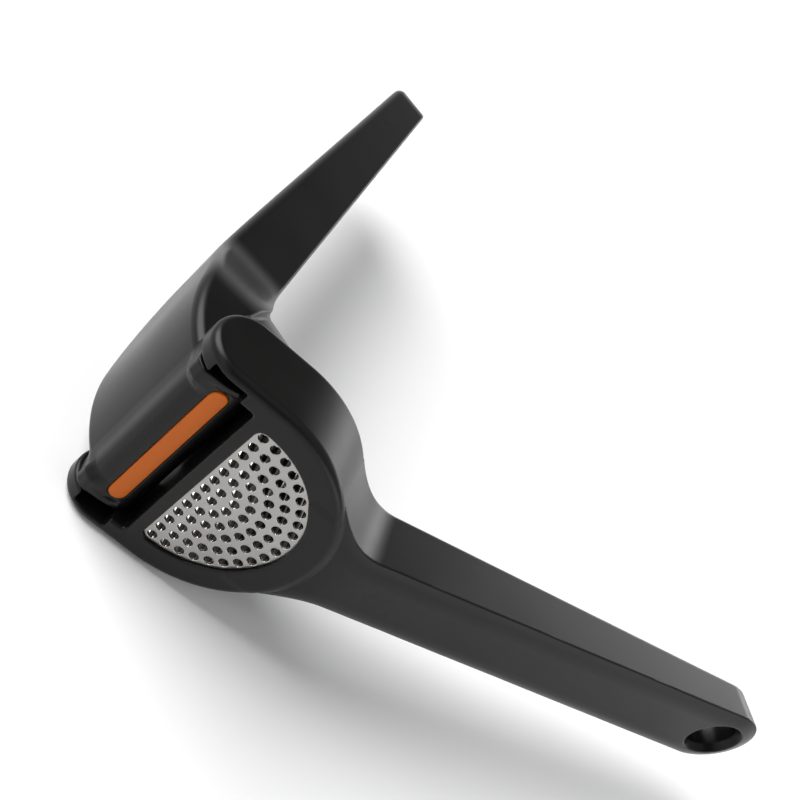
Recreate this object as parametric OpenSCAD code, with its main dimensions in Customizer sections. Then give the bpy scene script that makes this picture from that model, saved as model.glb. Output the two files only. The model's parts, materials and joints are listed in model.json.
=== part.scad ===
// Garlic press: a moulded frame with a half-round chamber and a steel strainer,
// and a moulded lever whose trunnions hook into slots in the frame's two ears.
// The press lies on its side. The hinge axis is vertical and passes through the
// origin, +X runs towards the frame's handle, and the lever opens towards +Y.

/* [Press] */
// Width of the press across its two hinge ears
press_w = 56; // [56:0.5:58]
// Angle between the closed press and the lever as it stands at rest
rest_open = 65; // [50:5:90]

/* [Hinge] */
// Thickness of each ear
ear_t = 5.1; // [4.6:0.1:5.4]
// Depth of the trunnion slot in each ear's inner face
slot_depth = 2.9; // [2.4:0.1:2.9]
// Radius of the lever's trunnions
trunnion_r = 3.9; // [3.5:0.1:4.1]
// Radius of the hinge barrel between the ears
barrel_r = 7; // [6.6:0.1:7]
// Angle of the accent strip round the barrel, with the press closed
strip_angle = 217; // [212:1:222]
// Width of the accent strip
strip_w = 4; // [3:0.5:4.5]
// Length of the accent strip
strip_len = 40; // [34:1:41]

/* [Chamber] */
// Inner radius of the round wall
chamber_r = 22.6; // [22.4:0.1:22.8]
// Distance from the hinge axis to the centre of the round end
chamber_x = 12.2; // [12:0.1:12.4]
// Height of the side that the garlic goes into, over the hinge axis
mouth_y = 8; // [7.5:0.1:8]
// Depth of the side that the garlic comes out of, under the hinge axis
outlet_depth = 9.2; // [9:0.1:9.6]

/* [Strainer] */
// Distance between neighbouring holes
hole_pitch = 3.25; // [3.1:0.05:3.3]
// Diameter of each hole
hole_d = 2.15; // [1.8:0.05:2.3]
// Thickness of the plate
plate_t = 2.4; // [2:0.1:2.5]

/* [Handles] */
// Angle of both closed handles to the strainer
handle_tilt = 20; // [19:0.5:21]
// Distance from the hinge axis to the frame's hanging hole
frame_hole_s = 160; // [158:1:164]
// Distance from the hinge axis to the lever's hanging hole
lever_hole_s = 155; // [153:1:156]
// Radius of both hanging holes
hang_r = 6; // [5:0.5:6]
// Half width of the outer side of each handle, at the end
handle_hw = 11; // [11:0.5:12]

/* [Hidden] */
$fn = 96;

mid_z = press_w / 2;
shell_r = press_w / 2;
ear_in = mid_z - ear_t;
barrel_hl = ear_in - 0.3;
slot_end = ear_in + slot_depth;
trunnion_hl = slot_end - 0.3;
slot_r = trunnion_r + 0.08;
outlet_y = -outlet_depth;
plate_y = outlet_y + 0.8;
wall_out_x = 7.6;
wall_in_x = 9.9;
window_x = 10.6;
mouth_bevel = 1.2;
window_r = chamber_r - 1.6;

plunger_r = chamber_r - 1.1;
plunger_x = 11.9;
plunger_y = plate_y + plate_t + 0.3;
plunger_t = 2;
stem_r = chamber_r - 2.2;
stem_x = 12.7;
stem_top = 13;

// Handle coordinates: s runs along the closed handle from the hinge axis, and
// t is the height over it.
frame_outer_t = -22.1;
frame_root_t = -4.2;
frame_tip_t = -11;
function frame_inner_t(s) = frame_root_t
    + (frame_tip_t - frame_root_t) * (s - root_s) / (frame_hole_s + handle_hw - root_s);
lever_inner_t = 0.4;
lever_root_t = 17.5;
lever_tip_t = 11;
root_s = 47;
root_hw = ear_in - 1.7;
channel_wall = 2.6;
channel_hw = [4.6, 5.4];
channel_corner = 2;
dish_r = 7.3;
dish_d = 1.1;

// Outline drawn as (x, z), given a thickness from y0 to y1
module across(y0, y1) {
    translate([0, y1, mid_z]) rotate([90, 0, 0]) linear_extrude(y1 - y0) children();
}

// Outline drawn as (x, y), given a height of 2 * half about the middle plane
module upright(half) {
    translate([0, 0, mid_z - half]) linear_extrude(2 * half) children();
}

module tilted() {
    rotate([0, 0, handle_tilt]) children();
}

module opened() {
    rotate([0, 0, rest_open]) children();
}

// Half disc about the chamber's centre, cut off straight at x = flat
module half_round(r, flat) {
    intersection() {
        translate([chamber_x, 0]) circle(r);
        translate([flat, -r - 1]) square([chamber_x + r + 1 - flat, 2 * r + 2]);
    }
}

// Both mirror images of a shape about the middle plane
module both_sides() {
    children();
    translate([0, 0, press_w]) mirror([0, 0, 1]) children();
}

// Handle body between s0 and its round end. t_root and t_end are its lowest and
// highest t at each end, and hw_low and hw_high its half widths at those levels.
module handle_body(s0, hole_s, t_root, t_end, hw_low, hw_high) {
    s1 = hole_s + handle_hw;
    low = min(concat(t_root, t_end));
    high = max(concat(t_root, t_end));
    tilted() intersection() {
        upright(mid_z) polygon([
            [s0, t_root[0]], [s1, t_end[0]], [s1, t_end[1]], [s0, t_root[1]]
        ]);
        across(low - 1, high + 1) union() {
            polygon([
                [s0, -handle_hw + 1], [hole_s, -handle_hw],
                [hole_s, handle_hw], [s0, handle_hw - 1]
            ]);
            translate([hole_s, 0]) circle(handle_hw);
        }
        translate([s0, 0, mid_z]) rotate([0, 90, 0]) linear_extrude(s1 - s0)
            polygon([[-hw_low, low], [hw_low, low], [hw_high, high], [-hw_high, high]]);
    }
}

// Hollow of a handle, open at t_open, with its floor channel_wall inside t_floor
module handle_channel(s0, s1, t_open, t_floor0, t_floor1) {
    tilted() intersection() {
        upright(mid_z) polygon([
            [s0, t_open], [s0, t_floor0], [s1, t_floor1], [s1, t_open]
        ]);
        across(-30, 30) hull() {
            translate([s0, -channel_hw[0]]) square([1, 2 * channel_hw[0]]);
            for (side = [-1, 1])
                translate([s1 - channel_corner, side * (channel_hw[1] - channel_corner)])
                    circle(channel_corner);
        }
    }
}

// Hanging hole with a dished rim on both faces
module hang_hole(s, t0, t1) {
    tilted() translate([s, 0, mid_z]) rotate([90, 0, 0]) {
        translate([0, 0, -t1 - 1]) cylinder(r = hang_r, h = t1 - t0 + 2);
        translate([0, 0, -t0 - dish_d]) cylinder(r1 = hang_r, r2 = dish_r, h = dish_d);
        translate([0, 0, -t0 - 0.01]) cylinder(r = dish_r, h = 2);
        translate([0, 0, -t1]) cylinder(r1 = dish_r, r2 = hang_r, h = dish_d);
        translate([0, 0, -t1 - 1.99]) cylinder(r = dish_r, h = 2);
    }
}

// Ear with its blind trunnion slot, on the low side
module ear() {
    ear_r = (mouth_y + outlet_depth) / 2;
    ear_y = (mouth_y - outlet_depth) / 2;
    difference() {
        linear_extrude(ear_t) union() {
            translate([0.4, ear_y]) circle(ear_r);
            translate([0.4, outlet_y]) square([chamber_x, mouth_y - outlet_y]);
        }
        translate([0, 0, mid_z - slot_end]) linear_extrude(slot_end) union() {
            circle(slot_r);
            translate([-slot_r, outlet_y - 1]) square([2 * slot_r, -outlet_y + 1]);
        }
    }
}

// Concave webs that blend the round end into the handle
module root_webs() {
    web_r = 12;
    web_z = handle_hw - 1 + web_r;
    web_x = chamber_x + sqrt(pow(shell_r + web_r - 0.1, 2) - pow(web_z, 2));
    web_s = [root_s - 20, root_s + 12];
    intersection() {
        tilted() upright(mid_z) polygon([
            [web_s[0], frame_outer_t], [web_s[1], frame_outer_t],
            [web_s[1], frame_inner_t(web_s[1])], [web_s[0], frame_inner_t(web_s[0])]
        ]);
        across(outlet_y, 30) difference() {
            polygon([[chamber_x, 0], [web_x, -web_z], [web_x, web_z]]);
            for (side = [-1, 1]) translate([web_x, side * web_z]) circle(web_r);
        }
    }
}

module press_frame() color([0.09, 0.09, 0.09]) difference() {
    union() {
        across(outlet_y, mouth_y) union() {
            half_round(shell_r, chamber_x - 0.01);
            translate([wall_out_x, -mid_z]) square([chamber_x - wall_out_x, press_w]);
        }
        both_sides() ear();
        root_webs();
        handle_body(root_s - 12, frame_hole_s, [frame_outer_t, frame_inner_t(root_s - 12)],
            [frame_outer_t, frame_tip_t], handle_hw, 8.6);
    }
    // bevel on the straight wall's mouth, clear of the plunger's edge as it swings
    upright(chamber_r - 0.4) translate([wall_in_x, mouth_y]) polygon([
        [-mouth_bevel - 1, 1], [1, -mouth_bevel - 1], [1, 1]
    ]);
    across(plate_y, 30) half_round(chamber_r, wall_in_x);
    across(outlet_y - 5, plate_y + 1) half_round(window_r, window_x);
    handle_channel(root_s + 6, frame_hole_s - 9, 5, frame_outer_t + channel_wall,
        frame_outer_t + channel_wall);
    hang_hole(frame_hole_s, frame_outer_t, frame_tip_t + 0.4);
}

module strainer_plate() color([0.75, 0.75, 0.74]) {
    across(plate_y, plate_y + plate_t) difference() {
        half_round(chamber_r - 0.1, wall_in_x + 0.1);
        translate([chamber_x, 0]) circle(d = hole_d);
        for (ring = [1 : 6]) {
            count = ring == 1 ? 4 : ring == 2 ? 8 : 3 * ring + 2;
            for (i = [0 : count - 1]) {
                a = -90 + 180 * i / (count - 1);
                translate([chamber_x + ring * hole_pitch * cos(a), ring * hole_pitch * sin(a)])
                    circle(d = hole_d);
            }
        }
    }
}

// Side view of the lever's root: up its back from the barrel to the handle, then
// back over the mouth and down the neck
module root_profile() {
    neck_x = 6.2;
    floor_y = mouth_y + 0.6;
    back = [
        [-barrel_r, 0], [-6.6, 4.6], [-4.4, 9.8], [-0.4, 14.2], [5, 18], [12, 21.6], [36.3, 31.8]
    ];
    under = [[36.3, 13.8], [21.6, floor_y], [neck_x, floor_y], [neck_x, 3.2], [0, 0]];
    polygon(concat(back, under));
}

// Plan of the lever's root: as wide as the plunger at the hinge, then narrowing
module root_plan() {
    half = [[-8, root_hw], [10, root_hw], [20, 18], [32, 12], [37, 10]];
    polygon(concat(half, [for (i = [len(half) - 1 : -1 : 0]) [half[i][0], -half[i][1]]]));
}

// Lip along the barrel, full height only at its two ends
module lip() {
    lip_a = 165;
    lip_r = 7.3;
    boss_r = 8.2;
    boss_l = 5;
    foot = [4, 5.7];
    tip_hw = 1.6;
    module section(r) {
        rotate(lip_a) polygon([
            [foot[0], -foot[1]], [r, -tip_hw], [r, tip_hw], [foot[0], foot[1]]
        ]);
    }
    upright(barrel_hl) section(lip_r);
    both_sides() translate([0, 0, mid_z - barrel_hl]) linear_extrude(boss_l) section(boss_r);
}

// Flat-bottomed rounded bar on the barrel, from radius r0 to r1
module strip_bar(r0, r1, w, l) {
    translate([0, 0, mid_z]) rotate([0, 0, strip_angle]) rotate([0, 90, 0])
        translate([0, 0, r0]) linear_extrude(r1 - r0) union() {
            square([l - w, w], center = true);
            for (s = [-1, 1]) translate([s * (l - w) / 2, 0]) circle(d = w);
        }
}

module lever() color([0.1, 0.1, 0.1]) opened() difference() {
    union() {
        upright(barrel_hl) circle(barrel_r);
        upright(trunnion_hl) circle(trunnion_r);
        lip();
        intersection() {
            upright(mid_z) root_profile();
            across(-20, 40) root_plan();
        }
        handle_body(root_s - 14, lever_hole_s, [lever_inner_t, lever_root_t + 0.7],
            [lever_inner_t, lever_tip_t], 9, handle_hw);
        across(plunger_y, plunger_y + plunger_t) half_round(plunger_r, plunger_x);
        across(plunger_y + 1, stem_top) half_round(stem_r, stem_x);
    }
    // flat facet that the strip's groove is cut into
    rotate([0, 0, strip_angle]) translate([6.5, -4, mid_z - strip_len / 2 - 0.6])
        cube([3, 8, strip_len + 1.2]);
    strip_bar(5.2, 8, strip_w + 0.1, strip_len + 0.1);
    handle_channel(root_s - 4, lever_hole_s - 8.5, -1, lever_root_t - channel_wall,
        lever_tip_t + 0.8 - channel_wall);
    hang_hole(lever_hole_s, lever_inner_t, lever_tip_t + 0.4);
}

module accent_strip() color([0.78, 0.36, 0.13]) opened()
    strip_bar(5.25, 6.75, strip_w, strip_len);

press_frame();
strainer_plate();
lever();
accent_strip();
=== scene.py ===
import json
import math

import bpy
import numpy as np
from mathutils import Matrix, Vector


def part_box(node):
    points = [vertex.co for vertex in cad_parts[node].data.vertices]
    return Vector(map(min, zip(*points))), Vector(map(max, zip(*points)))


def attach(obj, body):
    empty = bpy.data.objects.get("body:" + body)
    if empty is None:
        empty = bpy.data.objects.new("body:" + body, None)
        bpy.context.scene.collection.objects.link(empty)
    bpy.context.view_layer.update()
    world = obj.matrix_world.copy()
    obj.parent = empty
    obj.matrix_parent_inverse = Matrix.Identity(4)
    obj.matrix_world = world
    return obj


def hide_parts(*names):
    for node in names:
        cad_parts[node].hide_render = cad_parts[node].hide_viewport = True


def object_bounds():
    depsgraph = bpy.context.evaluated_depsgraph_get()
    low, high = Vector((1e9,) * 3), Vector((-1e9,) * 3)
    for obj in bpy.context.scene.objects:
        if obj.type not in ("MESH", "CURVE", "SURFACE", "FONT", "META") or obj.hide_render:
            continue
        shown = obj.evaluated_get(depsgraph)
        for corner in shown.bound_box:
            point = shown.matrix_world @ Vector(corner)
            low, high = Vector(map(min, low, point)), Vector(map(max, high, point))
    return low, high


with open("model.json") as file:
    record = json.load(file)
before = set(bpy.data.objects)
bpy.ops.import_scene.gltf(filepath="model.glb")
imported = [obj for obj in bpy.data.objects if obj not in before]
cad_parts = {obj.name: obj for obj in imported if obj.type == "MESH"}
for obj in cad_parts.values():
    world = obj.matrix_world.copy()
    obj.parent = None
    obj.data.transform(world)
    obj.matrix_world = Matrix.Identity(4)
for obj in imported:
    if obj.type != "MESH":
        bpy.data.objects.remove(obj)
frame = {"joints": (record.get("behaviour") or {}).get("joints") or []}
cad_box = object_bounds()

# ---------------------------------------------------------------- dimensions
# Millimetres. Shapes are written about the press's middle plane and the hinge
# axis, with both halves closed on each other, and placed at the end. x runs from
# the hinge towards the handles, y from the outlet side to the mouth side, and w is
# the distance from the middle plane. In a handle, s runs along it and t across it.
MM = 0.001
MID_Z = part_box("press_frame")[1].z / MM / 2
REST_OPEN = math.radians(-frame["joints"][0]["range_deg"][0])
TILT = math.radians(20)

# chamber
SHELL_R = MID_Z
CHAMBER_X = 12.2
CHAMBER_R = 22.6
OUTLET_Y = -9.2
MOUTH_Y = 8.0
SIDE_Y = (MOUTH_Y + OUTLET_Y) / 2
WALL_OUT_X = 7.6
WALL_IN_X = 9.9
WALL_LEAN_Y = 6.8
WINDOW_X = 10.6
WINDOW_R = 21.0

# ears and hinge
EAR_X = 0.4
EAR_R = (MOUTH_Y - OUTLET_Y) / 2
EAR_IN = 22.9
RECESS_R = 6.3
RECESS_D = 0.35
SLOT_R = 3.98
SLOT_END = 25.8
TRUNNION_R = 3.9
TRUNNION_HL = 25.5
BARREL_R = 7.0
BARREL_HL = 22.6

# strainer
PLATE_Y = -8.4
PLATE_T = 2.4
PLATE_GAP = 0.1
PITCH = 3.25
HOLE_R = 1.075
RINGS = 6

# plunger and the stem that carries it
PLUNGER_R = 21.5
PLUNGER_X = 11.9
PLUNGER_Y0 = -5.7
PLUNGER_Y1 = -3.7
STEM_R = 20.2
STEM_X = 12.7
STEM_Y1 = 10.0

# lip along the barrel, taller at its two ends
LIP_A = math.radians(165)
LIP_REACH = 7.5
LIP_HALF_T = 1.5
LIP_FLARE = 0.75
BOSS_REACH = 1.4
BOSS_W = 16.4
BOSS_RAMP = 3.0

# accent strip, and the round valley that its groove lies in
STRIP_A = math.radians(217)
STRIP_W = 4.0
STRIP_L = 40.0
STRIP_GAP = 0.05
STRIP_FOOT = 5.3
CROWN_R = 10.75
CROWN_C = -4.0
VALLEY_R = 12.0
VALLEY_C = 18.4

# frame's handle: its outer and inner sides, its half width with the growth of that
# along and across the handle, its facets and its web
FRAME_HOLE_S = 160.0
FRAME_OUT_T = -22.1
FRAME_IN_T = -4.2
FRAME_IN_SLOPE = 6.8 / 124
FRAME_IN_S = 47.0
FRAME_END_T = -10.3
FRAME_HALF = 10.0
FRAME_HALF_S = 50.0
FRAME_HALF_T = -21.0
FRAME_TAPER = 0.01
FRAME_DRAFT = 0.14
FRAME_START_S = 24.0
FRAME_CHANNEL_S = (54.0, 150.0)
FACET_A = math.radians(20.9)
FACET_W = 3.4
WEB_R = 10.4
WEB_W = 11.0

# lever's handle, in the same order, and the hood that it widens into over the plunger
LEVER_HOLE_S = 155.0
LEVER_OUT_T = 17.5
LEVER_OUT_SLOPE = 0.052
LEVER_IN_T = 0.4
LEVER_END_T = 11.6
LEVER_HALF = 9.6
LEVER_HALF_T = 11.0
LEVER_TAPER = 1.4 / 110
LEVER_DRAFT = 0.09
LEVER_CHANNEL_S = (43.0, 146.8)
HOOD_S = 45.0
HOOD_BEND = 10.0
HOOD_DROP = 0.0022
HOOD_BACK = 6.99
ROOT_HALF = 21.2
ROOT_S = 16.0
ROOT_RAMP = 32.0
NECK_X = 6.2

# hanging hole and channel of each handle
HANG_R = 6.0
DISH_R = 7.3
DISH_D = 2.0
CHANNEL_HALF = (4.6, 5.4)
CHANNEL_WALL = 2.6
LEDGE_S = 139.9
LEDGE_T = 1.6

# spacing of the surface points: on the mouldings, on the fine pieces, along a handle
CELL = 0.34
FINE = 0.16
LONG = 1.3


# ---------------------------------------------------------------- solids by distance
# A solid is a function that is negative inside and gives about the distance to
# its surface. The last argument of union, inter and cut is the edge's radius.
def union(a, b, r):
    """The two solids together, with a concave fillet of radius r between them."""
    return np.maximum(r, np.minimum(a, b)) - np.hypot(np.maximum(r - a, 0), np.maximum(r - b, 0))


def inter(a, b, r):
    """What the two solids share, with a rounded edge of radius r."""
    return -union(-a, -b, r)


def cut(a, b, r):
    """Solid a without solid b, with a rounded edge of radius r."""
    return -union(-a, b, r)


def soft_max(a, b, k):
    """Like inter, for faces that meet at a shallow angle."""
    h = np.maximum(k - np.abs(a - b), 0) / k
    return np.maximum(a, b) + h * h * k / 4


def slab(v, low, high):
    """The space between two parallel planes."""
    return np.abs(v - (low + high) / 2) - (high - low) / 2


def ramp(v, start, length):
    """Smooth step from 0 to 1 over the given length."""
    k = np.clip((v - start) / length, 0, 1)
    return k * k * (3 - 2 * k)


def turned(x, y, angle):
    """Distances along and across a direction in the side view."""
    c = math.cos(angle)
    s = math.sin(angle)
    return x * c + y * s, y * c - x * s


def from_chamber(x, w):
    """Distance from the axis of the chamber's round wall."""
    return np.hypot(x - CHAMBER_X, w)


def from_midline(s, w, hole_s):
    """Distance from a handle's middle line, which ends at its hanging hole."""
    return np.where(s > hole_s, np.hypot(s - hole_s, w), w)


def hang_hole(body, s, t, w, hole_s, t0, t1):
    """Cuts a hanging hole with a dished rim on both faces."""
    rad = np.hypot(s - hole_s, w)
    slope = math.atan2(DISH_R - HANG_R, DISH_D)
    cone = (rad - DISH_R) * math.cos(slope)
    low = np.maximum(cone + (t - t0) * math.sin(slope), t - t0 - DISH_D)
    high = np.maximum(cone + (t1 - t) * math.sin(slope), t1 - DISH_D - t)
    return cut(body, np.minimum(rad - HANG_R, np.minimum(low, high)), 0.3)


def channel(body, s, w, ends, floor, edge):
    """Cuts a long channel that widens along s, with rounded corners; its floor is where floor is 0."""
    half = CHANNEL_HALF[0] + (CHANNEL_HALF[1] - CHANNEL_HALF[0]) * (s - ends[0]) / (ends[1] - ends[0])
    plan = inter(w - half, slab(s, *ends), 2.0)
    return cut(body, inter(plan, floor, 1.0), edge)


# ---------------------------------------------------------------- press frame
def frame_head(x, y, w):
    """Block with the round wall and the two ears, before it is hollowed."""
    shell = np.where(x > CHAMBER_X, from_chamber(x, w), w) - SHELL_R
    side = np.where(x < EAR_X, np.hypot(x - EAR_X, y - SIDE_Y), np.abs(y - SIDE_Y)) - EAR_R
    return inter(shell, side, 1.6 - 0.35 * np.tanh(y / 4))


def frame_outside(x, y, w, s, t):
    """Head and handle, with a web that flares from the handle into the round wall."""
    inner_t = FRAME_IN_T - FRAME_IN_SLOPE * (s - FRAME_IN_S)
    half = FRAME_HALF + FRAME_TAPER * (np.clip(s, 40, FRAME_HOLE_S) - FRAME_HALF_S)
    half = half - FRAME_DRAFT * (t - FRAME_HALF_T)
    flank = (from_midline(s, w, FRAME_HOLE_S) - half) * 0.99
    web = union(flank, from_chamber(x, w) - SHELL_R, WEB_R)
    web = np.maximum(web, flank - WEB_W)
    outlet = soft_max(FRAME_OUT_T - t, OUTLET_Y + 0.55 - y, 3.0)
    facet = (web + FACET_W) * math.sin(FACET_A) + outlet * math.cos(FACET_A)
    handle = inter(web, soft_max(outlet, facet, 0.8), 0.25)
    handle = inter(handle, t - inner_t, 1.2)
    handle = np.maximum(handle, FRAME_START_S - s)
    # soft creases on the two broad faces, none on the round wall itself
    on_face = np.clip((np.abs(y - SIDE_Y) - 6.2) / 2.4, 0, 1)
    near_handle = np.clip((9 - flank) / 4, 0, 1)
    return union(frame_head(x, y, w), handle, 1.6 * on_face * near_handle)


def frame_solid(x, y, z):
    w = np.abs(z)
    s, t = turned(x, y, TILT)
    body = frame_outside(x, y, w, s, t)

    # chamber, whose straight wall leans back at the mouth, and the strainer's window
    wall = np.minimum(WALL_IN_X - x, (WALL_IN_X + WALL_LEAN_Y - x - y) * math.sqrt(0.5))
    room = inter(from_chamber(x, w) - CHAMBER_R, wall, 1.0)
    body = cut(body, inter(room, PLATE_Y - y, 0.15), 0.8)
    window = inter(from_chamber(x, w) - WINDOW_R, WINDOW_X - x, 1.6)
    body = cut(body, np.maximum(window, y - PLATE_Y - 2), 0.75)

    # gap between the ears, with a round recess and a slot in each inner face
    body = cut(body, inter(x - WALL_OUT_X, w - EAR_IN, 1.0), 0.8)
    body = cut(body, np.maximum(np.hypot(x, y) - RECESS_R, w - EAR_IN - RECESS_D), 0.2)
    slot = np.where(y < 0, np.abs(x), np.hypot(x, y)) - SLOT_R
    body = cut(body, inter(slot, w - SLOT_END, 0.3), 0.4)

    body = channel(body, s, w, FRAME_CHANNEL_S, FRAME_OUT_T + CHANNEL_WALL - t, 0.5)
    return hang_hole(body, s, t, w, FRAME_HOLE_S, FRAME_OUT_T, FRAME_END_T)


# ---------------------------------------------------------------- strainer
def plate_solid(x, y, z):
    """D-shaped sheet with one hole at the round wall's centre and half-rings of holes round it."""
    edge = inter(from_chamber(x, z) - CHAMBER_R + PLATE_GAP, WALL_IN_X + PLATE_GAP - x, 0.8)
    hole = from_chamber(x, z)
    for ring in range(1, RINGS + 1):
        count = 4 if ring == 1 else 3 * ring + 2
        step = math.pi / (count - 1)
        nearest = np.round((np.arctan2(z, x - CHAMBER_X) + math.pi / 2) / step)
        angle = np.clip(nearest, 0, count - 1) * step - math.pi / 2
        hole_x = ring * PITCH * np.cos(angle)
        hole_z = ring * PITCH * np.sin(angle)
        hole = np.minimum(hole, np.hypot(x - CHAMBER_X - hole_x, z - hole_z))
    sheet = inter(edge, slab(y, PLATE_Y, PLATE_Y + PLATE_T), 0.12)
    return cut(sheet, hole - HOLE_R, 0.12)


# ---------------------------------------------------------------- lever and its strip
def lever_out_t(s):
    """Where the lever's outer side is, along its length."""
    past = s - HOOD_S
    straight = LEVER_OUT_T - LEVER_OUT_SLOPE / 2 * (past + np.hypot(past, HOOD_BEND))
    return straight - HOOD_DROP * np.minimum(past, 0) ** 2


def lever_sweep(x, y, w, s, t):
    """One sweep from the barrel, as a hood over the plunger, into the handle."""
    back = -turned(x, y, -TILT)[0] - HOOD_BACK
    profile = soft_max(t - lever_out_t(s), back, 10.0)
    over = soft_max(MOUTH_Y + 0.6 - y, LEVER_IN_T - t, 1.0)
    neck = inter(x - NECK_X, -y, 0.3)
    grip_half = LEVER_HALF + LEVER_TAPER * (s - HOOD_S) + LEVER_DRAFT * (t - LEVER_HALF_T)
    narrow = ramp(s, ROOT_S, ROOT_RAMP)
    half = ROOT_HALF + (grip_half - ROOT_HALF) * narrow
    # the last factor makes up for the slope of the narrowing
    flank = (from_midline(s, w, LEVER_HOLE_S) - half) * (1 - 0.36 * narrow * (1 - narrow))
    sweep = inter(union(over, neck, 1.2), flank, 0.7)
    return inter(sweep, profile, 2.4)


def lever_lip(x, y, w):
    """Lip that gets thicker towards the barrel."""
    along, across = turned(x, y, LIP_A)
    reach = LIP_REACH + BOSS_REACH * ramp(w, BOSS_W, BOSS_RAMP)
    sides = (np.abs(across) - LIP_HALF_T - (reach - along) * LIP_FLARE) / math.hypot(1, LIP_FLARE)
    return np.maximum(inter(along - reach, sides, 0.7), BARREL_R - 4 - along)


def strip_outline(across, w):
    """Round-ended bar, seen from straight above the strip."""
    return np.hypot(np.maximum(w - (STRIP_L - STRIP_W) / 2, 0), across) - STRIP_W / 2


def lever_solid(x, y, z):
    w = np.abs(z)
    s, t = turned(x, y, TILT)
    from_hinge = np.hypot(x, y)

    stem = inter(from_chamber(x, w) - STEM_R, STEM_X - x, 1.2)
    stem = inter(stem, slab(y, PLUNGER_Y0 + 0.6, STEM_Y1), 0.3)
    disc = inter(from_chamber(x, w) - PLUNGER_R, PLUNGER_X - x, 0.8)
    disc = inter(disc, slab(y, PLUNGER_Y0, PLUNGER_Y1), 0.45)

    body = union(from_hinge - BARREL_R, lever_sweep(x, y, w, s, t), 1.0)
    body = union(body, lever_lip(x, y, w), 1.4)
    body = inter(body, w - BARREL_HL, 0.4)
    body = union(body, inter(from_hinge - TRUNNION_R, w - TRUNNION_HL, 0.5), 0.3)
    body = union(body, stem, 1.2)
    body = union(body, disc, 0.5)

    # shallow valley with the strip's groove in it
    out, across = turned(x, y, STRIP_A)
    valley = inter(np.hypot(out - VALLEY_C, across) - VALLEY_R, w - STRIP_L / 2 - 1.0, 0.8)
    body = cut(body, valley, 0.8)
    groove = np.maximum(strip_outline(across, w) - STRIP_GAP, STRIP_FOOT - 0.1 - out)
    body = cut(body, groove, 0.15)

    floor = t - lever_out_t(s) + CHANNEL_WALL
    floor = union(floor + LEDGE_T, inter(floor, s - LEDGE_S, 0.3), 0.3)
    body = channel(body, s, w, LEVER_CHANNEL_S, floor, 0.35)
    return hang_hole(body, s, t, w, LEVER_HOLE_S, LEVER_IN_T, LEVER_END_T)


def strip_solid(x, y, z):
    """Inlay with a gently crowned face."""
    out, across = turned(x, y, STRIP_A)
    crown = np.hypot(out - CROWN_C, across) - CROWN_R
    return inter(inter(strip_outline(across, np.abs(z)), crown, 0.35), STRIP_FOOT - out, 0.1)


# ---------------------------------------------------------------- meshing
# The surface is found on a grid of cells. A cell that it passes through gets one
# point, and each grid edge that it crosses gets a quad between the four cells round it.
BLOCK = 8
CORNERS = np.array([(i, j, k) for i in (0, 1) for j in (0, 1) for k in (0, 1)])
EDGES = [(a, b) for a in range(8) for b in range(a + 1, 8) if abs(CORNERS[a] - CORNERS[b]).sum() == 1]


def grid_point(axes, index):
    """Coordinates of grid points."""
    return np.stack([axes[k][index[:, k]] for k in range(3)], 1)


def near_blocks(value, axes):
    """First and last grid index of the blocks of cells that the surface may pass through."""
    cells = [len(a) - 1 for a in axes]
    starts = [np.arange(0, n, BLOCK) for n in cells]
    first = np.stack(np.meshgrid(*starts, indexing="ij"), -1).reshape(-1, 3)
    last = np.minimum(first + BLOCK, cells)
    low = grid_point(axes, first)
    high = grid_point(axes, last)
    # distances are only about right, so the reach has a margin
    reach = np.linalg.norm(high - low, axis=1) / 2 * 1.35 + 1.0
    near = np.abs(value(*((low + high) / 2).T)) < reach
    return zip(first[near], last[near])


def block_points(axes, first, field):
    """Cells of a block that the surface passes through, and a point of it in each."""
    count = np.array(field.shape) - 1
    corners = [field[tuple(slice(o, o + n) for o, n in zip(corner, count))] for corner in CORNERS]
    inside = sum((c < 0).astype(np.int8) for c in corners)
    cell = np.nonzero((inside > 0) & (inside < 8))
    values = [c[cell] for c in corners]
    index = first + np.stack(cell, 1)
    low = grid_point(axes, index)
    span = grid_point(axes, index + 1) - low
    total = np.zeros_like(low)
    hits = np.zeros(len(index))
    for a, b in EDGES:
        cross = (values[a] < 0) != (values[b] < 0)
        part = np.where(cross, values[a] / np.where(cross, values[a] - values[b], 1), 0)
        start = low + span * CORNERS[a]
        end = low + span * CORNERS[b]
        total += np.where(cross[:, None], start + (end - start) * part[:, None], 0)
        hits += cross
    return index, total / hits[:, None]


def block_quads(first, field):
    """Four cells round each grid edge of a block that the surface crosses, in turn."""
    inside = field < 0
    count = np.array(field.shape) - 1
    quads = []
    for axis in range(3):
        here = [slice(0, n) for n in count]
        ahead = list(here)
        ahead[axis] = slice(1, count[axis] + 1)
        start = inside[tuple(here)]
        cross = np.nonzero(start != inside[tuple(ahead)])
        shift = np.zeros((4, 3), int)
        shift[:, (axis + 1) % 3] = (0, -1, -1, 0)
        shift[:, (axis + 2) % 3] = (0, 0, -1, -1)
        ring = (first + np.stack(cross, 1))[:, None, :] + shift
        flip = ~start[cross]
        ring[flip] = ring[flip][:, ::-1]
        quads.append(ring)
    return np.concatenate(quads)


def gradient(solid, p, h=0.01):
    """Outward direction of the solid's surface at points p."""
    g = np.empty_like(p)
    for axis in range(3):
        d = np.zeros(3)
        d[axis] = h
        g[:, axis] = solid(*(p + d).T) - solid(*(p - d).T)
    return g / np.maximum(np.linalg.norm(g, axis=1, keepdims=True), 1e-9)


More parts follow.
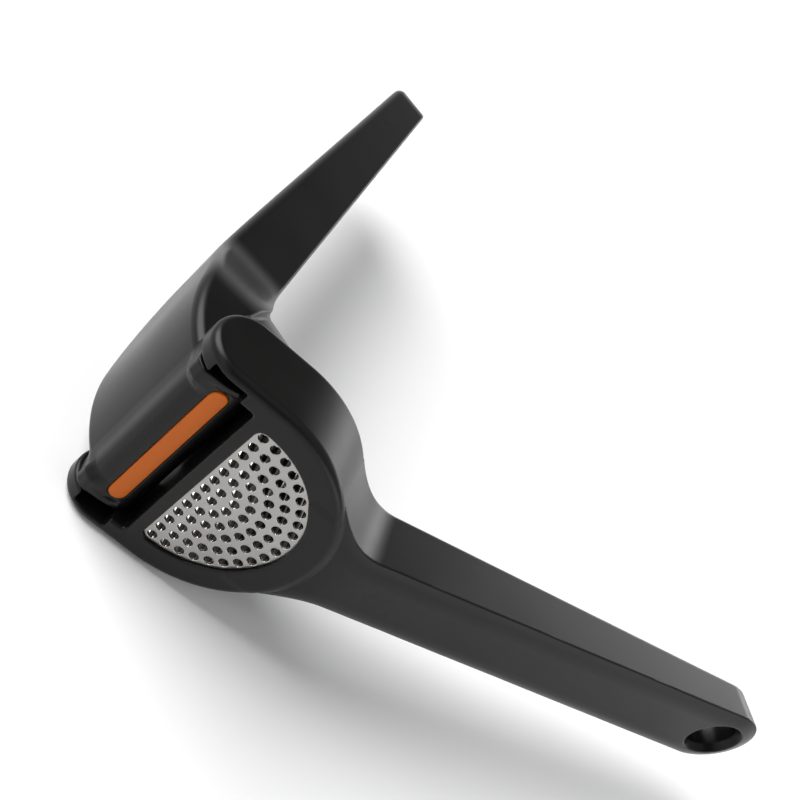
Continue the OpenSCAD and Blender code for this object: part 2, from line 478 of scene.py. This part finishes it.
def settle(solid, p, quads):
    """Moves the points onto the exact surface and spreads them evenly on it."""
    count = np.zeros(len(p))
    for a in range(4):
        np.add.at(count, quads[:, a], 2)
    for spread in (False, True, True, True, True):
        if spread:
            total = np.zeros_like(p)
            for a in range(4):
                for b in ((a + 1) % 4, (a + 3) % 4):
                    np.add.at(total, quads[:, a], p[quads[:, b]])
            normal = gradient(solid, p)
            move = (total / count[:, None] - p) * 0.5
            move -= normal * (move * normal).sum(1, keepdims=True)
            p = p + move
        for _ in range(2):
            p = p - gradient(solid, p) * solid(*p.T)[:, None]
    return p


def surface(solid, axes, turn):
    """Points and quads on the surface of a solid, from a grid turned about Z by turn."""
    c = math.cos(turn)
    s = math.sin(turn)

    def value(u, v, z):
        return solid(u * c - v * s, u * s + v * c, z)

    cells = []
    points = []
    quads = []
    for first, last in near_blocks(value, axes):
        sides = [a[i:j + 1] for a, i, j in zip(axes, first, last)]
        field = value(*np.meshgrid(*sides, indexing="ij"))
        if field.min() > 0 or field.max() < 0:
            continue
        index, place = block_points(axes, first, field)
        cells.append(index)
        points.append(place)
        quads.append(block_quads(first, field))
    # cells become numbers, and quads point to the sorted cells
    shape = [len(a) for a in axes]
    cells = np.ravel_multi_index(np.concatenate(cells).T, shape)
    quads = np.ravel_multi_index(np.moveaxis(np.concatenate(quads), 2, 0), shape)
    order = np.argsort(cells)
    quads = np.searchsorted(cells[order], quads)
    u, v, z = np.concatenate(points)[order].T
    p = np.stack([u * c - v * s, u * s + v * c, z], 1)
    return settle(solid, p, quads), quads


def build(name, solid, axes, turn=0.0, opened=0.0):
    """Mesh object in metres from a solid, with the press's opening angle applied."""
    p, quads = surface(solid, axes, turn)
    normal = gradient(solid, p)
    c = math.cos(opened)
    s = math.sin(opened)
    spin = np.array([[c, s, 0], [-s, c, 0], [0, 0, 1]])
    p = p @ spin
    normal = normal @ spin
    p[:, 2] += MID_Z
    mesh = bpy.data.meshes.new(name)
    mesh.vertices.add(len(p))
    mesh.vertices.foreach_set("co", (p * MM).astype(np.float32).ravel())
    mesh.loops.add(quads.size)
    mesh.loops.foreach_set("vertex_index", quads.astype(np.int32).ravel())
    mesh.polygons.add(len(quads))
    mesh.polygons.foreach_set("loop_start", np.arange(0, quads.size, 4, dtype=np.int32))
    mesh.update(calc_edges=True)
    mesh.validate()
    mesh.polygons.foreach_set("use_smooth", np.ones(len(mesh.polygons), dtype=bool))
    mesh.normals_split_custom_set_from_vertices(normal.tolist())
    obj = bpy.data.objects.new(name, mesh)
    bpy.context.scene.collection.objects.link(obj)
    return obj


def steps(*runs):
    """Grid positions from (start, end, spacing) runs."""
    out = []
    for low, high, gap in runs:
        out.append(np.linspace(low, high, max(1, round((high - low) / gap)), endpoint=False))
    out.append([runs[-1][1]])
    return np.concatenate(out)


# ---------------------------------------------------------------- materials
def node_tree(name):
    mat = bpy.data.materials.new(name)
    mat.use_nodes = True
    tree = mat.node_tree
    tree.nodes.clear()
    out = tree.nodes.new("ShaderNodeOutputMaterial")
    bsdf = tree.nodes.new("ShaderNodeBsdfPrincipled")
    tree.links.new(bsdf.outputs[0], out.inputs[0])
    return mat, tree, bsdf


def feed(tree, socket, value):
    """Links an output to a socket, or sets a number or a colour on it."""
    if isinstance(value, bpy.types.NodeSocket):
        tree.links.new(value, socket)
    elif isinstance(value, tuple):
        socket.default_value = (*value, 1)
    else:
        socket.default_value = value


def noise(tree, scale, detail, coords, rough=0.5):
    node = tree.nodes.new("ShaderNodeTexNoise")
    node.inputs["Scale"].default_value = scale
    node.inputs["Detail"].default_value = detail
    node.inputs["Roughness"].default_value = rough
    tree.links.new(coords, node.inputs["Vector"])
    return node.outputs[0]


def remap(tree, value, low, high, from_low, from_high):
    """Number that runs from low to high as value runs from from_low to from_high."""
    node = tree.nodes.new("ShaderNodeMapRange")
    node.inputs["From Min"].default_value = from_low
    node.inputs["From Max"].default_value = from_high
    node.inputs["To Min"].default_value = low
    node.inputs["To Max"].default_value = high
    tree.links.new(value, node.inputs["Value"])
    return node.outputs[0]


def mix(tree, kind, factor, low, high):
    """Mix of two colours or numbers, each one a constant or another node's output."""
    node = tree.nodes.new("ShaderNodeMix")
    node.data_type = kind
    feed(tree, node.inputs["A"], low)
    feed(tree, node.inputs["B"], high)
    tree.links.new(factor, node.inputs["Factor"])
    return node.outputs["Result"]


def bump(tree, height, strength, distance, normal=None):
    node = tree.nodes.new("ShaderNodeBump")
    node.inputs["Strength"].default_value = strength
    node.inputs["Distance"].default_value = distance
    tree.links.new(height, node.inputs["Height"])
    if normal is not None:
        tree.links.new(normal, node.inputs["Normal"])
    return node.outputs[0]


def plastic(name, low, high, rough_low, rough_high):
    """Satin moulded plastic: fine spark-eroded grain and faint handling marks."""
    mat, tree, bsdf = node_tree(name)
    coords = tree.nodes.new("ShaderNodeTexCoord").outputs["Object"]
    grain = noise(tree, 2600, 3, coords, 0.6)
    cloud = noise(tree, 45, 3, coords, 0.55)
    flow = noise(tree, 9, 2, coords)
    feed(tree, bsdf.inputs["Base Color"], mix(tree, "RGBA", cloud, low, high))
    feed(tree, bsdf.inputs["Roughness"], remap(tree, cloud, rough_low, rough_high, 0.3, 0.7))
    fine = bump(tree, grain, 0.12, 0.00006)
    feed(tree, bsdf.inputs["Normal"], bump(tree, flow, 0.08, 0.0004, fine))
    bsdf.inputs["IOR"].default_value = 1.5
    bsdf.inputs["Specular IOR Level"].default_value = 0.22
    return mat


def steel(name):
    """Brushed stainless sheet, its grain along the straight edge; the hole walls are glossier and get
    a near-white colour that is a painted highlight.
    """
    mat, tree, bsdf = node_tree(name)
    coords = tree.nodes.new("ShaderNodeTexCoord").outputs["Object"]
    stretch = tree.nodes.new("ShaderNodeMapping")
    stretch.inputs["Scale"].default_value = (1, 1, 0.03)
    tree.links.new(coords, stretch.inputs["Vector"])
    lines = noise(tree, 6000, 3, stretch.outputs[0], 0.6)
    cloud = noise(tree, 120, 3, coords)
    facing = tree.nodes.new("ShaderNodeSeparateXYZ")
    tree.links.new(tree.nodes.new("ShaderNodeNewGeometry").outputs["Normal"], facing.inputs[0])
    flat = tree.nodes.new("ShaderNodeMath")
    flat.operation = "ABSOLUTE"
    tree.links.new(facing.outputs["Y"], flat.inputs[0])
    on_face = remap(tree, flat.outputs[0], 0, 1, 0.55, 0.85)
    sheet = mix(tree, "RGBA", cloud, (0.33, 0.318, 0.305), (0.41, 0.398, 0.385))
    # painted highlight: where the normal turns away from y, on the hole walls, the colour goes
    # near-white to stand in for the bright streaks of light in the holes; the sheet's faces keep the
    # brushed tone
    feed(tree, bsdf.inputs["Base Color"], mix(tree, "RGBA", on_face, (0.86, 0.84, 0.81), sheet))
    brushed = remap(tree, lines, 0.26, 0.36, 0.3, 0.7)
    feed(tree, bsdf.inputs["Roughness"], mix(tree, "FLOAT", on_face, 0.06, brushed))
    feed(tree, bsdf.inputs["Normal"], bump(tree, lines, 0.1, 0.00002))
    bsdf.inputs["Metallic"].default_value = 1.0
    return mat


def assign(obj, mat):
    obj.data.materials.clear()
    obj.data.materials.append(mat)


# ---------------------------------------------------------------- pieces
# Each grid covers its piece, with long cells only along the straight of a handle.
black = plastic("moulded_black", (0.0042, 0.0041, 0.0039), (0.0058, 0.0057, 0.0054), 0.27, 0.35)
orange = plastic("moulded_orange", (0.48, 0.102, 0.004), (0.54, 0.116, 0.006), 0.38, 0.46)
metal = steel("brushed_plate")

press = build(
    "press_frame_moulding",
    frame_solid,
    (
        steps((-12, 56, CELL), (56, 146, LONG), (146, 173, CELL)),
        steps((-30, 16, CELL)),
        steps((-29, 29, CELL)),
    ),
    turn=TILT,
)
assign(press, black)
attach(press, "frame_half")
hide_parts("press_frame")

lever = build(
    "lever_moulding",
    lever_solid,
    (
        steps((-10, 52, CELL), (52, 142, LONG), (142, 168, CELL)),
        steps((-20, 24, CELL)),
        steps((-27, 27, CELL)),
    ),
    turn=TILT,
    opened=REST_OPEN,
)
assign(lever, black)
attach(lever, "lever_half")
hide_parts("lever")

strip = build(
    "accent_strip_inlay",
    strip_solid,
    (steps((-9, 1, FINE)), steps((-8, 2, FINE)), steps((-21, 21, FINE))),
    opened=REST_OPEN,
)
assign(strip, orange)
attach(strip, "lever_half")
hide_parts("accent_strip")

plate = build(
    "strainer_sheet",
    plate_solid,
    (steps((9, 36, FINE)), steps((-8.8, -5.6, FINE)), steps((-23.6, 23.6, FINE))),
)
assign(plate, metal)
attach(plate, "frame_half")
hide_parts("strainer_plate")

# ---------------------------------------------------------------- camera
# The camera looks down on the strainer and is rolled, so that the handle runs to
# the lower right of the view.
VIEW_FROM = Vector((-33.90, -184.28, 202.65)) * MM
VIEW_AZIMUTH = math.radians(72.075)
VIEW_ELEVATION = math.radians(-34.641)
VIEW_ROLL = math.radians(51.291)
camera = bpy.data.cameras.new("camera")
camera.sensor_width = 36
camera.lens = 57.35
camera.clip_start = 0.01
camera.clip_end = 10
camera_object = bpy.data.objects.new("camera", camera)
bpy.context.scene.collection.objects.link(camera_object)
level = Vector((math.sin(VIEW_AZIMUTH), -math.cos(VIEW_AZIMUTH), 0))
flat_ahead = Vector((math.cos(VIEW_AZIMUTH), math.sin(VIEW_AZIMUTH), 0))
ahead = flat_ahead * math.cos(VIEW_ELEVATION) + Vector((0, 0, math.sin(VIEW_ELEVATION)))
upright = level.cross(ahead)
right = level * math.cos(VIEW_ROLL) + upright * math.sin(VIEW_ROLL)
up = upright * math.cos(VIEW_ROLL) - level * math.sin(VIEW_ROLL)
turn = Matrix((right, up, -ahead)).transposed().to_4x4()
camera_object.matrix_world = Matrix.Translation(VIEW_FROM) @ turn
bpy.context.scene.camera = camera_object

# ---------------------------------------------------------------- floor
FLOOR_HALF = 3.0
FLOOR_GAP = 0.0002
floor_mesh = bpy.data.meshes.new("floor")
floor_corners = [(i * FLOOR_HALF, j * FLOOR_HALF, 0) for i, j in ((-1, -1), (1, -1), (1, 1), (-1, 1))]
floor_mesh.from_pydata(floor_corners, [], [(0, 1, 2, 3)])
floor = bpy.data.objects.new("floor", floor_mesh)
floor.location.z = cad_box[0].z - FLOOR_GAP
bpy.context.scene.collection.objects.link(floor)
floor_mat, _, floor_bsdf = node_tree("floor_paper")
floor_bsdf.inputs["Base Color"].default_value = (0.9, 0.9, 0.9, 1)
floor_bsdf.inputs["Roughness"].default_value = 0.9
floor_bsdf.inputs["Specular IOR Level"].default_value = 0.1
assign(floor, floor_mat)

# ---------------------------------------------------------------- lights
AIM = Vector((0.06, 0.04, 0.028))


def softbox(name, place, width, height, power):
    """Rectangular light that faces the press."""
    light = bpy.data.lights.new(name, "AREA")
    light.shape = "RECTANGLE"
    light.size = width
    light.size_y = height
    light.energy = power
    obj = bpy.data.objects.new(name, light)
    obj.location = place
    obj.rotation_euler = (AIM - Vector(place)).to_track_quat("-Z", "Y").to_euler()
    bpy.context.scene.collection.objects.link(obj)


softbox("front", (-0.75, -0.75, 0.75), 0.6, 0.6, 1.5)
softbox("right", (0.90, -0.75, 0.10), 0.8, 0.3, 1.8)
softbox("back_right", (0.9, 0.8, 0.28), 1.2, 0.3, 4.5)
softbox("overhead", (0.52, -0.05, 0.87), 1.2, 1.2, 2.2)

# broad overhead key, even over the whole floor
key = bpy.data.lights.new("key", "SUN")
key.energy = 3.9
key.angle = math.radians(48)
key_object = bpy.data.objects.new("key", key)
key_object.rotation_euler = Vector((-1.0, 0.33, 1.0)).to_track_quat("Z", "Y").to_euler()
bpy.context.scene.collection.objects.link(key_object)

# a pale horizon under a dim ceiling, as between the white walls of a studio
world = bpy.data.worlds.new("studio")
bpy.context.scene.world = world
world.use_nodes = True
sky = world.node_tree
sky_direction = sky.nodes.new("ShaderNodeSeparateXYZ")
sky.links.new(sky.nodes.new("ShaderNodeTexCoord").outputs["Generated"], sky_direction.inputs[0])
sky_paint = sky.nodes["Background"]
sky_paint.inputs["Color"].default_value = (0.98, 0.99, 1.0, 1)
feed(sky, sky_paint.inputs["Strength"], remap(sky, sky_direction.outputs["Z"], 0.80, 0.03, 0.20, 0.58))

bpy.context.scene.view_settings.view_transform = "Standard"
